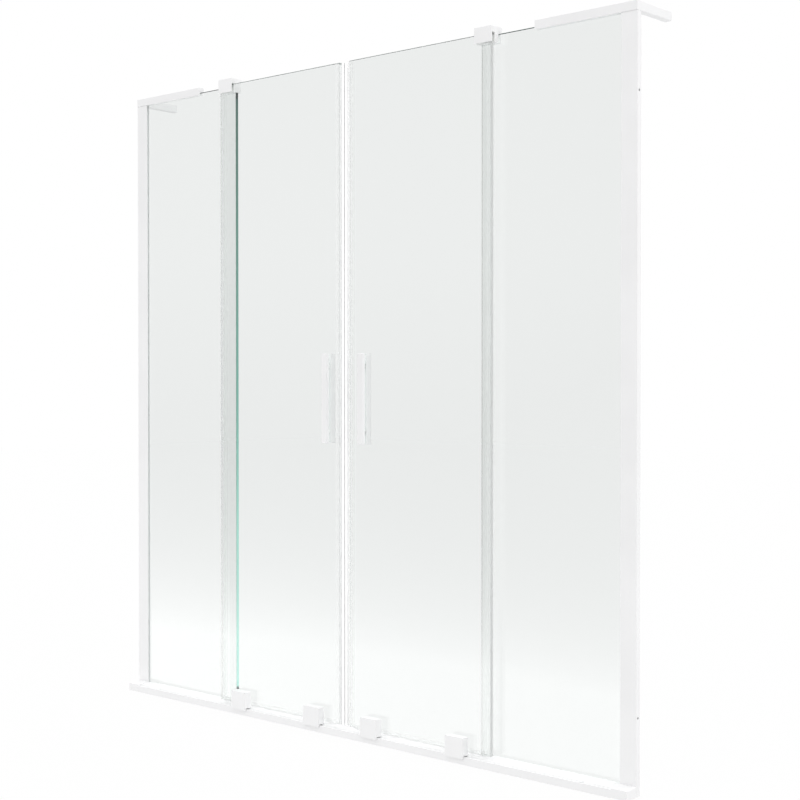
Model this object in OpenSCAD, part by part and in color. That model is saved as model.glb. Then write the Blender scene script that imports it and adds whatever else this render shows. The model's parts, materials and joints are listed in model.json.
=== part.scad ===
// Sliding bath screen: two fixed glass panes, two sliding glass doors that meet in the middle
// X runs along the screen, Y from the door side to the fixed side, Z up from the bath rim

/* [Screen] */
// Width over the two wall profiles
screen_w = 1500; // [1400:10:1800]
// Height from the underside of the rail to the top of the glass
screen_h = 1500; // [1300:10:1700]
// Thickness of every glass pane
glass_t = 8; // [6:1:10]

/* [Bottom rail] */
// Height of the rail at its front face
rail_h = 16.5; // [15:0.5:22]
// How much higher the back of the rail's top is, so that water runs to the front
rail_rise = 4; // [2:0.5:6]
// Wall of the rail extrusion
rail_wall = 2; // [1.5:0.1:2.5]
// Depth of the flat strip along the front of the rail's top
tread_d = 13; // [12:0.5:16]
// Depth of the roller track sunk in the rail's top
track_depth = 1; // [0.5:0.1:2]
// Side play of a roller in its track, each side
track_play = 1; // [0.5:0.1:2]
// Height of an end cap above the rail's top
cap_rise = 2.5; // [1:0.5:4]
// Length of the plug that holds an end cap in the rail
cap_plug_l = 12; // [8:1:20]
// Length of a door buffer along the track
buffer_l = 8; // [5:1:12]
// Height of a door buffer above the rail's top
buffer_h = 1.4; // [1:0.1:1.5]

/* [Wall profiles] */
// Width of a wall profile, measured from the wall
prof_w = 36; // [34:1:50]
// Wall of the wall profile
prof_wall = 1.5; // [1.2:0.1:2]
// Depth of the pocket that takes the fixed pane
prof_pocket = 15; // [12:1:16]
// Gap between the fixed pane's edge and the bottom of its pocket
pane_slack = 1; // [0.5:0.5:2]
// Height of a wall profile's foot above the bath rim
prof_foot = 1; // [0.5:0.5:3]
// Depth of the wall channel that the profile slides over
channel_w = 18; // [14:1:18]
// Wall of the wall channel
channel_wall = 1.5; // [1.2:0.1:2]
// Play between the wall channel and the profile, each side
channel_play = 0.1; // [0.1:0.05:0.3]
// Diameter of the holes for the wall screws
wall_hole_d = 5; // [4:0.5:6]
// Distance of the wall screws from the ends of the channel
wall_hole_inset = 150; // [80:10:300]
// Thickness of the gasket strips beside the fixed pane
gasket_t = 1.25; // [1:0.05:2]

/* [Fixed panes] */
// Half the space between the two fixed panes
pane_free_x = 374.5; // [360:0.5:390]
// Distance of the fixed panes behind the front of the rail
pane_setback = 34.25; // [34:0.25:38]
// Thickness of the rubber channel around the foot of a fixed pane
foot_rubber_t = 1; // [0.8:0.1:1.5]
// Height of the pane's foot above the bath rim
pane_foot = 6; // [5:0.5:8]

/* [Doors] */
// Distance of the doors behind the front of the rail
door_setback = 14.4; // [14:0.1:16]
// How far a closed door laps over its fixed pane
door_lap = 38; // [30:0.5:40]
// Space between the glass edges of the two closed doors
meeting_gap = 31; // [28:1:36]
// Height of the lower glass edge of a door above the bath rim
door_foot = 24; // [24:0.5:30]
// Travel of a door from closed to open
door_travel = 300; // [240:5:300]

/* [Carriages] */
// Width of a roller carriage
block_w = 49; // [44:1:56]
// Height of a carriage's top above the bath rim
block_top = 56; // [55:1:64]
// How far a carriage stands in front of the rail
block_front = 4.75; // [4:0.25:7]
// Gap between a carriage and the rail's top
block_gap = 1.8; // [1.8:0.1:3]
// How far the skirt of a carriage hangs in front of the rail
skirt_drop = 4; // [2:0.5:6]
// Place of the outer carriage, from the middle of the screen
outer_x = 330.8; // [300:0.1:331]
// Place of the inner carriage, from the middle of the screen
inner_x = 88; // [88:1:140]
// Diameter of a roller
roller_d = 22; // [18:1:24]
// Width of a roller
roller_w = 6; // [5:0.5:7]
// Distance of the roller's middle behind the front of the rail
roller_in = 6; // [5.5:0.5:7]
// Outer diameter of the roller's ball bearing
bearing_d = 13; // [11:1:14]
// Diameter of the axle
axle_d = 5; // [4:0.5:6]
// Diameter of the clamp disc that holds a carriage from behind the glass
clamp_d = 16; // [14:0.5:17]
// Thickness of the clamp disc
clamp_t = 5; // [4:0.5:6]
// Diameter of the clamp screw
clamp_screw_d = 5; // [4:0.5:5]
// Distance of the clamp screw below the top of its carriage
clamp_drop = 13; // [12.5:0.5:13]
// Thickness of the pads between metal and glass
pad_t = 0.8; // [0.5:0.1:1]

/* [Handles] */
// Height of a handle
handle_h = 200; // [160:5:300]
// Width of a handle
handle_w = 15.5; // [14:0.5:20]
// Depth of the handle bar in front of the glass
handle_front_d = 8.2; // [8:0.2:14]
// Depth of the handle bar behind the glass
handle_back_d = 15.5; // [12:0.5:16]
// Place of the handle, from the middle of the screen
handle_x = 55; // [46:1:60]
// Height of the handle's middle above the bath rim
handle_z = 753; // [600:1:900]
// Spacing of the two handle bolts
handle_pitch = 145; // [100:5:150]
// Diameter of the handle bolts
handle_bolt_d = 6; // [5:0.5:6]

/* [Seals] */
// Thickness of the clear seal profiles
seal_t = 1; // [0.8:0.1:1.2]
// Lap of a seal's legs on the glass
seal_leg = 11; // [8:1:12]
// Width of the magnet strip in a meeting seal
magnet_w = 6; // [5:0.5:8]

/* [Top guides] */
// Width of a top guide
guide_w = 45.5; // [30:0.5:50]
// Height of a top guide
guide_h = 32; // [26:1:40]
// Height of a top guide above the top of the glass
guide_rise = 14.5; // [8:0.5:16]
// Metal in front of and behind the slots of a top guide
guide_wall = 2; // [2:0.1:4]
// Metal at the closed end of the fixed pane's slot
guide_end = 4; // [2:0.5:6]
// Thickness of the nylon slide that lines the door's slot
slide_t = 1; // [0.8:0.1:1.6]
// Play between a door and its nylon slide, each side
slide_play = 0.3; // [0.3:0.1:0.8]

/* [Braces] */
// Length of a brace bar along the fixed pane
bar_l = 240; // [180:5:300]
// Height of a brace bar
bar_h = 18.5; // [16:0.5:24]
// Depth of a brace bar, front to back
bar_d = 16; // [15:0.5:20]
// How far a brace bar reaches down over the glass
bar_lap = 6; // [4:0.5:7]
// Length of a brace arm behind its bar
arm_l = 105; // [80:5:150]
// Width of a brace arm, measured from the wall
arm_w = 16; // [14:1:20]
// Thickness of the closing cap on a brace arm
arm_cap_t = 2; // [1.5:0.5:4]
// Length of the plug that holds the closing cap in its arm
arm_plug_l = 5; // [4:1:9]

/* [Hidden] */
$fn = 64;
eps = 0.01;
running_play = 0.03;     // radial play of a bearing on its axle
part_gap = 0.3;          // clearance between a fixed and a moving face
fit_play = 0.1;          // clearance between two pieces that are pushed together
hole_play = 0.4;         // how much wider a through hole is than its screw
small_r = 1.2;           // rounding of the metal edges
screw_head_h = 2.5;
guide_grub_d = 5;
brace_grub_d = 4;
grub_sink = 0.5;         // how deep a grub screw stands below its face
lock_screw_d = 3.5;      // screws that lock a wall profile on its channel
lock_head_d = 7;
lock_head_h = 1.6;
lock_spread = 0.37;      // place of the end lock screws, as a share of the screen's height

wall_x = screen_w / 2;
prof_d = glass_t + 2 * (gasket_t + prof_wall);
rail_back_wall = rail_wall - 0.25;
rail_d = pane_setback + glass_t + foot_rubber_t + rail_back_wall;
front_y = -rail_d / 2;
groove_z = 2 * rail_wall;  // floor of the rail's groove for the fixed panes

// Fixed panes and wall profiles
pane_y = front_y + pane_setback;
pane_mid_y = pane_y + glass_t / 2;
prof_in_x = wall_x - prof_w;
prof_y = pane_mid_y - prof_d / 2;
web_x = prof_in_x + prof_pocket;
pane_out_x = web_x - pane_slack;
bar_z = screen_h - bar_lap;
prof_top = bar_z - part_gap;
rail_back_h = rail_h + rail_rise;
cap_d = prof_y - front_y;

// Doors
door_y = front_y + door_setback;
door_back_y = door_y + glass_t;
door_in_x = meeting_gap / 2;
nose_x = part_gap + fit_play;  // half the gap between the noses of the closed meeting seals
door_out_x = pane_free_x + door_lap;

// Carriages
roller_y = front_y + roller_in;
roller_r = roller_d / 2;
track_w = roller_w + 2 * track_play;
track_z = rail_h - track_depth;
roller_z = track_z + part_gap + roller_r;
block_z = rail_h + block_gap;
block_y = front_y - block_front;
block_d = door_setback + block_front - pad_t;
skirt_z = rail_h - skirt_drop;
clamp_screw_z = block_top - clamp_drop;
clamp_y = door_back_y + pad_t;
clamp_thread = 8;        // how far a clamp screw goes into its carriage
glass_hole_d = clamp_screw_d + 5;
wheel_room = 1.2;        // room around a roller in its carriage
axle_skin = 2;           // metal in front of an axle

// Handles
handle_front_y = door_y - pad_t - handle_front_d;
handle_back_y = door_back_y + pad_t;
handle_hole_d = handle_bolt_d + 6;
handle_skin = 2;         // metal in front of a bolt in the front bar
bolt_head_d = handle_bolt_d + 4;
bolt_sink = handle_back_d - 6;
bolt_head_y = handle_back_y + handle_back_d - bolt_sink;

// Top guides
guide_x = pane_free_x - guide_end;
guide_top = screen_h + guide_rise;
guide_z = guide_top - guide_h;
guide_slot_y = door_y - slide_play - slide_t;
guide_slot_d = glass_t + 2 * (slide_play + slide_t);
guide_y = guide_slot_y - guide_wall;
guide_back_wall = guide_wall + 2;
guide_back_y = pane_y + glass_t + foot_rubber_t + guide_back_wall;
guide_roof_z = screen_h + 2;
guide_grub_z = guide_z + 2 * guide_grub_d;

// Braces
bar_x = wall_x - bar_l;
bar_y = pane_mid_y - bar_d / 2;
arm_x = wall_x - arm_w;
arm_y = bar_y + bar_d;
arm_end_y = arm_y + arm_l;
arm_mid_x = wall_x - arm_w / 2;
arm_mid_z = bar_z + bar_h / 2;
tongue_w = 8;
tongue_l = 5;
arm_plug_d = 6;
bar_grub_z = bar_z + 3;

metal = [0.90, 0.90, 0.91];
steel = [0.80, 0.81, 0.82];
glass = [0.80, 0.92, 0.89, 0.35];
clear = [0.93, 0.96, 0.95, 0.7];
rubber = [0.35, 0.36, 0.36];
nylon = [0.95, 0.95, 0.95];

// A box between two corners
module block(a, b) {
    translate(a) cube([b[0] - a[0], b[1] - a[1], b[2] - a[2]]);
}

// The children as drawn for the right half, or mirrored for the left half
module half(side) {
    if (side < 0) mirror([1, 0, 0]) children();
    else children();
}

// A flat outline with Y and Z as its axes, drawn out along X from x to x + l
module along_x(x, l) {
    translate([x, 0, 0]) rotate([90, 0, 90]) linear_extrude(height = l) children();
}

// A rod along Y from y to y + l
module rod_y(x, y, z, d, l) {
    translate([x, y, z]) rotate([-90, 0, 0]) cylinder(d = d, h = l);
}

// A rectangle with true round corners
module round_rect(w, h, r) {
    translate([r, 0]) square([w - 2 * r, h]);
    translate([0, r]) square([w, h - 2 * r]);
    for (x = [r, w - r], y = [r, h - r]) translate([x, y]) circle(r = r);
}

// A box whose four edges along X are round
module soft_bar(a, b, r) {
    along_x(a[0], b[0] - a[0]) translate([a[1], a[2]]) round_rect(b[1] - a[1], b[2] - a[2], r);
}

// A box whose four upright edges are round
module soft_post(a, b, r) {
    translate(a) linear_extrude(height = b[2] - a[2]) round_rect(b[0] - a[0], b[1] - a[1], r);
}

// Outline of the rail's outside, with a round front edge
module rail_outline(rise) {
    top = rail_h + rise;
    back_top = rail_back_h + rise / 2;
    difference() {
        polygon([[front_y, 0], [front_y, top], [front_y + tread_d, top], [prof_y, back_top],
            [-front_y, back_top], [-front_y, 0]]);
        translate([front_y + small_r, top - small_r]) difference() {
            translate([-2 * small_r, 0]) square(2 * small_r);
            circle(r = small_r);
        }
    }
}

module bottom_rail() {
    chamber_top = track_z - rail_wall;
    groove_y = pane_y - foot_rubber_t;
    split_y = front_y + tread_d + rail_wall;
    color(metal) along_x(-prof_in_x, 2 * prof_in_x) difference() {
        rail_outline(0);
        translate([roller_y - track_w / 2, track_z]) square([track_w, track_depth + eps]);
        translate([groove_y, groove_z]) square([glass_t + 2 * foot_rubber_t, rail_back_h]);
        translate([front_y + rail_wall, rail_wall])
            square([tread_d - rail_wall, chamber_top - rail_wall]);
        translate([split_y, rail_wall])
            square([groove_y - rail_wall - split_y, chamber_top - rail_wall]);
    }
}

// Strip that closes the rail's groove between the fixed panes
module rail_infill() {
    w = glass_t + 2 * (foot_rubber_t - fit_play);
    color(metal)
        block([-pane_free_x + part_gap, pane_mid_y - w / 2, groove_z],
            [pane_free_x - part_gap, pane_mid_y + w / 2, rail_back_h]);
}

module rail_end_cap(side) {
    play = 0.15;
    color(metal) half(side) {
        along_x(prof_in_x, prof_w) intersection() {
            rail_outline(cap_rise);
            translate([front_y, 0]) square([cap_d, 2 * rail_back_h]);
        }
        block([prof_in_x - cap_plug_l, front_y + rail_wall + play, rail_wall + play],
            [prof_in_x + eps, front_y + tread_d - play, track_z - rail_wall - play]);
    }
}

// Low buffers in the track that the outer rollers run against
module rail_buffers() {
    meet_h = rail_h + buffer_h - (roller_z - roller_r);
    meet_x = sqrt(pow(roller_r, 2) - pow(roller_r - meet_h, 2));
    stop_x = outer_x + door_travel + meet_x + part_gap;
    w = track_w - 2 * fit_play;
    color(clear) for (side = [-1, 1]) half(side)
        soft_post([stop_x, roller_y - w / 2, track_z],
            [stop_x + buffer_l, roller_y + w / 2, rail_h + buffer_h], small_r);
}

// Channel that is screwed to the wall
module wall_channel(side) {
    w = prof_d - 2 * (prof_wall + channel_play);
    color(metal) half(side) difference() {
        block([wall_x - channel_w, pane_mid_y - w / 2, prof_foot], [wall_x, pane_mid_y + w / 2, prof_top]);
        block([wall_x - channel_w - 1, pane_mid_y - w / 2 + channel_wall, prof_foot - 1],
            [wall_x - channel_wall, pane_mid_y + w / 2 - channel_wall, prof_top + 1]);
        for (z = [prof_foot + wall_hole_inset, prof_top - wall_hole_inset])
            translate([wall_x - channel_wall - 1, pane_mid_y, z])
                rotate([0, 90, 0]) cylinder(d = wall_hole_d, h = channel_wall + 2);
        for (z = lock_screw_heights()) rod_y(lock_screw_x(), pane_mid_y, z, lock_screw_d, w);
    }
}

function lock_screw_heights() = [for (i = [-1:1]) screen_h * (1 / 2 + i * lock_spread)];
function lock_screw_x() = wall_x - channel_w / 2;

// Visible profile: one pocket for the fixed pane, one that slides over the wall channel
module wall_profile(side) {
    color(metal) half(side) difference() {
        soft_post([prof_in_x, prof_y, prof_foot], [wall_x, prof_y + prof_d, prof_top], small_r / 2);
        block([prof_in_x - 1, prof_y + prof_wall, prof_foot - 1],
            [web_x, prof_y + prof_d - prof_wall, prof_top + 1]);
        block([web_x + prof_wall, prof_y + prof_wall, prof_foot - 1],
            [wall_x + 1, prof_y + prof_d - prof_wall, prof_top + 1]);
        for (z = lock_screw_heights()) rod_y(lock_screw_x(), pane_mid_y, z, lock_screw_d, prof_d);
    }
}

// Two strips that wedge the pane in its pocket
module glazing_gasket(side) {
    color(rubber) half(side) for (y = [pane_y - gasket_t, pane_y + glass_t])
        block([prof_in_x - gasket_t / 2, y, rail_back_h + part_gap], [pane_out_x, y + gasket_t, prof_top]);
}

module profile_screws() {
    leg_y = pane_mid_y + prof_d / 2 - prof_wall - channel_play - channel_wall;
    head_y = pane_mid_y + prof_d / 2;
    color(steel) for (side = [-1, 1], z = lock_screw_heights()) half(side) {
        rod_y(lock_screw_x(), leg_y, z, lock_screw_d, head_y - leg_y + eps);
        rod_y(lock_screw_x(), head_y, z, lock_head_d, lock_head_h);
    }
}

module fixed_glass(side) {
    color(glass) half(side)
        block([pane_free_x, pane_y, pane_foot], [pane_out_x, pane_y + glass_t, screen_h]);
}

// Rubber channels around the feet of the fixed panes, in the rail's groove
module pane_foot_rubbers() {
    color(rubber) for (side = [-1, 1]) half(side) difference() {
        block([pane_free_x, pane_y - foot_rubber_t, groove_z],
            [prof_in_x, pane_y + glass_t + foot_rubber_t, rail_back_h]);
        block([pane_free_x - 1, pane_y, pane_foot], [prof_in_x + 1, pane_y + glass_t, rail_back_h + 1]);
    }
}

// Bar over the top edge of a fixed pane
module brace_bar(side) {
    slot_w = glass_t + 2 * foot_rubber_t;
    color(metal) half(side) difference() {
        soft_bar([bar_x, bar_y, bar_z], [wall_x, bar_y + bar_d, bar_z + bar_h], small_r);
        block([bar_x - 1, pane_mid_y - slot_w / 2, bar_z - 1],
            [pane_out_x + foot_rubber_t, pane_mid_y + slot_w / 2, screen_h + foot_rubber_t]);
        tongue(1);
        arm_grub(bar_h);
        for (x = bar_grub_places()) rod_y(x, pane_mid_y, bar_grub_z, brace_grub_d, bar_d);
    }
}

function bar_grub_places() = [bar_x + bar_l / 8, bar_x + bar_l * 3 / 5];

// Tongue of an arm that goes into its bar, drawn out into the arm by over
module tongue(over) {
    block([arm_mid_x - tongue_w / 2, arm_y - tongue_l, arm_mid_z - tongue_w / 2],
        [arm_mid_x + tongue_w / 2, arm_y + over, arm_mid_z + tongue_w / 2]);
}

// Upright rod in the tongue: the grub screw, or the hole for it
module arm_grub(h) {
    translate([arm_mid_x, arm_y - tongue_l / 2, arm_mid_z]) cylinder(d = brace_grub_d, h = h);
}

// Slice of an arm between two depths
module arm_bar(y0, y1) {
    translate([arm_x, y1, bar_z]) rotate([90, 0, 0]) linear_extrude(height = y1 - y0)
        round_rect(arm_w, bar_h, small_r);
}

// Arm that runs back along the wall
module brace_arm(side) {
    color(metal) half(side) difference() {
        union() {
            arm_bar(arm_y, arm_end_y);
            tongue(eps);
        }
        arm_grub(bar_h);
        rod_y(arm_mid_x, arm_end_y - arm_plug_l - 1, arm_mid_z, arm_plug_d, arm_plug_l + 2);
    }
}

// Caps that close the free ends of the arms
module brace_end_caps() {
    color(metal) for (side = [-1, 1]) half(side) {
        arm_bar(arm_end_y, arm_end_y + arm_cap_t);
        rod_y(arm_mid_x, arm_end_y - arm_plug_l, arm_mid_z, arm_plug_d, arm_plug_l + eps);
    }
}

// Grub screws: one locks each arm in its bar, two press each bar on its pane
module brace_screws() {
    press_y = pane_y + glass_t + foot_rubber_t;
    color(steel) for (side = [-1, 1]) half(side) {
        arm_grub(bar_h / 2 - 1);
        for (x = bar_grub_places())
            rod_y(x, press_y, bar_grub_z, brace_grub_d, bar_y + bar_d - press_y - grub_sink);
    }
}

// Rubber channels on the panes inside the bars and the top guides
module glass_clamp_rubbers() {
    color(rubber) for (side = [-1, 1]) half(side) {
        difference() {
            block([bar_x, pane_y - foot_rubber_t, bar_z],
                [pane_out_x, pane_y + glass_t + foot_rubber_t, screen_h + foot_rubber_t]);
            block([bar_x - 1, pane_y, bar_z - 1], [pane_out_x + 1, pane_y + glass_t, screen_h]);
        }
        difference() {
            block([pane_free_x, pane_y - foot_rubber_t, guide_z],
                [guide_x + guide_w, pane_y + glass_t + foot_rubber_t, screen_h + foot_rubber_t]);
            block([pane_free_x - 1, pane_y, guide_z - 1],
                [guide_x + guide_w + 1, pane_y + glass_t, screen_h]);
        }
    }
}

function guide_grub_places() = [guide_x + guide_w * 0.3, guide_x + guide_w * 0.75];

// Block on the free top corner of a fixed pane, with a slot that the door runs through
module top_guide(side) {
    color(metal) half(side) difference() {
        soft_post([guide_x, guide_y, guide_z], [guide_x + guide_w, guide_back_y, guide_top], small_r);
        block([guide_x - 1, guide_slot_y, guide_z - 1],
            [guide_x + guide_w + 1, guide_slot_y + guide_slot_d, guide_roof_z + slide_t]);
        block([pane_free_x, pane_y - foot_rubber_t, guide_z - 1],
            [guide_x + guide_w + 1, pane_y + glass_t + foot_rubber_t, screen_h + foot_rubber_t]);
        for (x = guide_grub_places()) rod_y(x, pane_mid_y, guide_grub_z, guide_grub_d, rail_d);
    }
}

// Nylon slides that line the door slots of the guides
module guide_slides() {
    color(nylon) for (side = [-1, 1]) half(side) difference() {
        block([guide_x, guide_slot_y, guide_z],
            [guide_x + guide_w, guide_slot_y + guide_slot_d, guide_roof_z + slide_t]);
        block([guide_x - 1, guide_slot_y + slide_t, guide_z - 1],
            [guide_x + guide_w + 1, guide_slot_y + guide_slot_d - slide_t, guide_roof_z]);
    }
}

module guide_screws() {
    y0 = pane_y + glass_t + foot_rubber_t;
    color(steel) for (side = [-1, 1], x = guide_grub_places()) half(side)
        rod_y(x, y0, guide_grub_z, guide_grub_d, guide_back_y - y0 - grub_sink);
}

function carriage_places() = [outer_x, inner_x];
function handle_bolt_heights() = [handle_z - handle_pitch / 2, handle_z + handle_pitch / 2];

module door_glass(side) {
    color(glass) half(side) difference() {
        block([door_in_x, door_y, door_foot], [door_out_x, door_back_y, screen_h]);
        for (x = carriage_places()) rod_y(x, door_y - 1, clamp_screw_z, glass_hole_d, glass_t + 2);
        for (z = handle_bolt_heights()) rod_y(handle_x, door_y - 1, z, handle_hole_d, glass_t + 2);
    }
}

// Clear profile on the meeting edge, with a hollow nose for the magnet strip
module meeting_seal(side) {
    pocket = magnet_pocket();
    color(clear) half(side) difference() {
        block([nose_x, door_y - seal_t, door_foot],
            [door_in_x + seal_leg, door_back_y + seal_t, screen_h]);
        block([door_in_x, door_y, door_foot - 1], [door_in_x + seal_leg + 1, door_back_y, screen_h + 1]);
        block(pocket[0], pocket[1]);
    }
}

// The room for the magnet strip: lower and upper corner
function magnet_pocket() = [
    [nose_x + seal_t, door_y + seal_t / 2, door_foot + seal_t],
    [nose_x + seal_t + magnet_w, door_back_y - seal_t / 2, screen_h - seal_t]];

module magnet_strip(side) {
    play = fit_play * [1, 1, 1];
    pocket = magnet_pocket();
    color(rubber) half(side) block(pocket[0] + play, pocket[1] - play);
}

// Clear profile on the outer edge, whose lip sweeps along the fixed pane
module wiper_seal(side) {
    web_t = 1.2 * seal_t;
    back_y = door_back_y + 4 * seal_t;
    lip_y = pane_y - 2 * part_gap;
    lip_l = 8 * seal_t;
    color(clear) half(side) translate([0, 0, door_foot])
        linear_extrude(height = guide_z - part_gap - 1 - door_foot) {
            translate([door_out_x - seal_leg, door_y - seal_t]) square([seal_leg + web_t, seal_t]);
            translate([door_out_x - seal_leg, door_back_y]) square([seal_leg + web_t, seal_t]);
            translate([door_out_x, door_y - seal_t]) square([web_t, back_y - door_y + seal_t]);
            polygon([[door_out_x, back_y - seal_t], [door_out_x + web_t, back_y],
                [door_out_x + web_t - lip_l, lip_y], [door_out_x - lip_l, lip_y - seal_t / 2]]);
        }
}

// Clear strips under the door, beside and between the carriages
module drip_seal(side) {
    edges = [door_in_x + seal_leg + 1, inner_x - block_w / 2 - 1, inner_x + block_w / 2 + 1,
        outer_x - block_w / 2 - 1, outer_x + block_w / 2 + 1, door_out_x - seal_leg - 1];
    leg = seal_leg - 3;
    lip_z = rail_h + rail_rise / 2 + 0.6;
    color(clear) half(side) for (i = [0, 2, 4]) difference() {
        union() {
            block([edges[i], door_y - seal_t, door_foot - seal_t],
                [edges[i + 1], door_back_y + seal_t, door_foot + leg]);
            block([edges[i], door_y + seal_t, lip_z], [edges[i + 1], door_y + 2 * seal_t, door_foot]);
        }
        block([edges[i] - 1, door_y, door_foot], [edges[i + 1] + 1, door_back_y, door_foot + leg + 1]);
    }
}

// Flat bar in front of the glass, tapped from behind
module handle_front(side) {
    color(metal) half(side) difference() {
        soft_post([handle_x - handle_w / 2, handle_front_y, handle_z - handle_h / 2],
            [handle_x + handle_w / 2, handle_front_y + handle_front_d, handle_z + handle_h / 2], small_r);
        for (z = handle_bolt_heights())
            rod_y(handle_x, handle_front_y + handle_skin, z, handle_bolt_d, handle_front_d);
    }
}

// Deeper bar behind the glass, with sunk holes for the bolts
module handle_back(side) {
    color(metal) half(side) difference() {
        soft_post([handle_x - handle_w / 2, handle_back_y, handle_z - handle_h / 2],
            [handle_x + handle_w / 2, handle_back_y + handle_back_d, handle_z + handle_h / 2], small_r);
        for (z = handle_bolt_heights()) {
            rod_y(handle_x, handle_back_y - 1, z, handle_bolt_d + hole_play, handle_back_d);
            rod_y(handle_x, bolt_head_y, z, bolt_head_d + hole_play, bolt_sink + 1);
        }
    }
}

// Soft pieces between metal and glass: pads on both faces and a sleeve in each glass hole
module glass_pads(side) {
    inset = 0.5;
    color(clear) half(side) {
        for (z = handle_bolt_heights()) sleeve(handle_x, z, handle_hole_d, handle_bolt_d + hole_play);
        for (y = [door_y - pad_t, door_back_y]) difference() {
            block([handle_x - handle_w / 2 + inset, y, handle_z - handle_h / 2 + inset],
                [handle_x + handle_w / 2 - inset, y + pad_t, handle_z + handle_h / 2 - inset]);
            for (z = handle_bolt_heights()) rod_y(handle_x, y - 1, z, handle_hole_d, pad_t + 2);
        }
        for (x = carriage_places()) {
            sleeve(x, clamp_screw_z, glass_hole_d, clamp_screw_d + hole_play);
            difference() {
                union() {
                    block([x - block_w / 2 + 2 * inset, door_y - pad_t, door_foot],
                        [x + block_w / 2 - 2 * inset, door_y, block_top - 4 * inset]);
                    rod_y(x, door_back_y, clamp_screw_z, clamp_d - 2 * inset, pad_t);
                }
                rod_y(x, door_y - pad_t - 1, clamp_screw_z, glass_hole_d, glass_t + 2 * pad_t + 2);
            }
        }
    }
}

// A round sleeve that fills a glass hole from pad to pad
module sleeve(x, z, d, bore) {
    difference() {
        rod_y(x, door_y - pad_t, z, d - fit_play, glass_t + 2 * pad_t);
        rod_y(x, door_y - pad_t - 1, z, bore, glass_t + 2 * pad_t + 2);
    }
}

// Bolts of the handle and screws of the two carriages
module door_bolts(side) {
    bolt_y = handle_front_y + handle_skin + grub_sink;
    screw_y = door_y - pad_t - clamp_thread;
    color(steel) half(side) {
        for (z = handle_bolt_heights()) {
            rod_y(handle_x, bolt_y, z, handle_bolt_d, bolt_head_y - bolt_y + eps);
            rod_y(handle_x, bolt_head_y, z, bolt_head_d, handle_bolt_d);
        }
        for (x = carriage_places()) {
            rod_y(x, screw_y, clamp_screw_z, clamp_screw_d, clamp_y + clamp_t - screw_y + eps);
            rod_y(x, clamp_y + clamp_t, clamp_screw_z, 2 * clamp_screw_d, screw_head_h);
        }
    }
}

// Housing of one carriage: a block with a wheel room, open below, and a skirt before the rail
module carriage(side, x) {
    r = roller_r + wheel_room;
    w = roller_w + 2 * part_gap;
    color(metal) half(side) difference() {
        union() {
            soft_post([x - block_w / 2, block_y, block_z], [x + block_w / 2, block_y + block_d, block_top],
                small_r);
            block([x - block_w / 2 + small_r, block_y, skirt_z],
                [x + block_w / 2 - small_r, front_y - part_gap, block_z + eps]);
        }
        rod_y(x, roller_y - w / 2, roller_z, 2 * r, w);
        block([x - r, roller_y - w / 2, block_z - 1], [x + r, roller_y + w / 2, roller_z]);
        rod_y(x, block_y + axle_skin, roller_z, axle_d, block_d - 1.5 * axle_skin);
        rod_y(x, door_y - pad_t - clamp_thread - 0.5, clamp_screw_z, clamp_screw_d, clamp_thread + 2);
    }
}

// Round discs behind the glass that the carriages are pulled against
module clamp_discs(side) {
    color(metal) half(side) for (x = carriage_places()) difference() {
        rod_y(x, clamp_y, clamp_screw_z, clamp_d, clamp_t);
        rod_y(x, clamp_y - 1, clamp_screw_z, clamp_screw_d + hole_play, clamp_t + 2);
    }
}

module axles(side) {
    color(steel) half(side) for (x = carriage_places())
        rod_y(x, block_y + axle_skin + fit_play, roller_z, axle_d, block_d - 1.5 * axle_skin - 2 * fit_play);
}

// Tyre of a roller
module roller(side, x) {
    crown = 0.6;
    color(nylon) half(side) translate([x, roller_y, roller_z]) rotate([90, 0, 0]) rotate_extrude()
        polygon([[bearing_d / 2, -roller_w / 2], [roller_r - crown, -roller_w / 2],
            [roller_r, -roller_w / 2 + crown], [roller_r, roller_w / 2 - crown],
            [roller_r - crown, roller_w / 2], [bearing_d / 2, roller_w / 2]]);
}

// Ball bearing pressed into the tyre
module bearing(side, x) {
    w = roller_w - 1;
    color(steel) half(side) difference() {
        rod_y(x, roller_y - w / 2, roller_z, bearing_d, w);
        rod_y(x, roller_y - w, roller_z, axle_d + 2 * running_play, 2 * w);
    }
}

bottom_rail();
rail_infill();
rail_end_cap(-1);  // left_rail_end_cap
rail_end_cap(1);  // right_rail_end_cap
rail_buffers();
wall_channel(-1);  // left_wall_channel
wall_channel(1);  // right_wall_channel
wall_profile(-1);  // left_wall_profile
wall_profile(1);  // right_wall_profile
glazing_gasket(-1);  // left_glazing_gasket
glazing_gasket(1);  // right_glazing_gasket
profile_screws();
fixed_glass(-1);  // left_fixed_glass
fixed_glass(1);  // right_fixed_glass
pane_foot_rubbers();
brace_bar(-1);  // left_brace_bar
brace_bar(1);  // right_brace_bar
brace_arm(-1);  // left_brace_arm
brace_arm(1);  // right_brace_arm
brace_end_caps();
brace_screws();
glass_clamp_rubbers();
top_guide(-1);  // left_top_guide
top_guide(1);  // right_top_guide
guide_slides();
guide_screws();
door_glass(-1);  // left_door_glass
meeting_seal(-1);  // left_meeting_seal
magnet_strip(-1);  // left_magnet_strip
wiper_seal(-1);  // left_wiper_seal
drip_seal(-1);  // left_drip_seal
handle_front(-1);  // left_handle_front
handle_back(-1);  // left_handle_back
glass_pads(-1);  // left_glass_pads
door_bolts(-1);  // left_door_bolts
carriage(-1, outer_x);  // left_outer_carriage
carriage(-1, inner_x);  // left_inner_carriage
clamp_discs(-1);  // left_clamp_discs
axles(-1);  // left_axles
door_glass(1);  // right_door_glass
meeting_seal(1);  // right_meeting_seal
magnet_strip(1);  // right_magnet_strip
wiper_seal(1);  // right_wiper_seal
drip_seal(1);  // right_drip_seal
handle_front(1);  // right_handle_front
handle_back(1);  // right_handle_back
glass_pads(1);  // right_glass_pads
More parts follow.
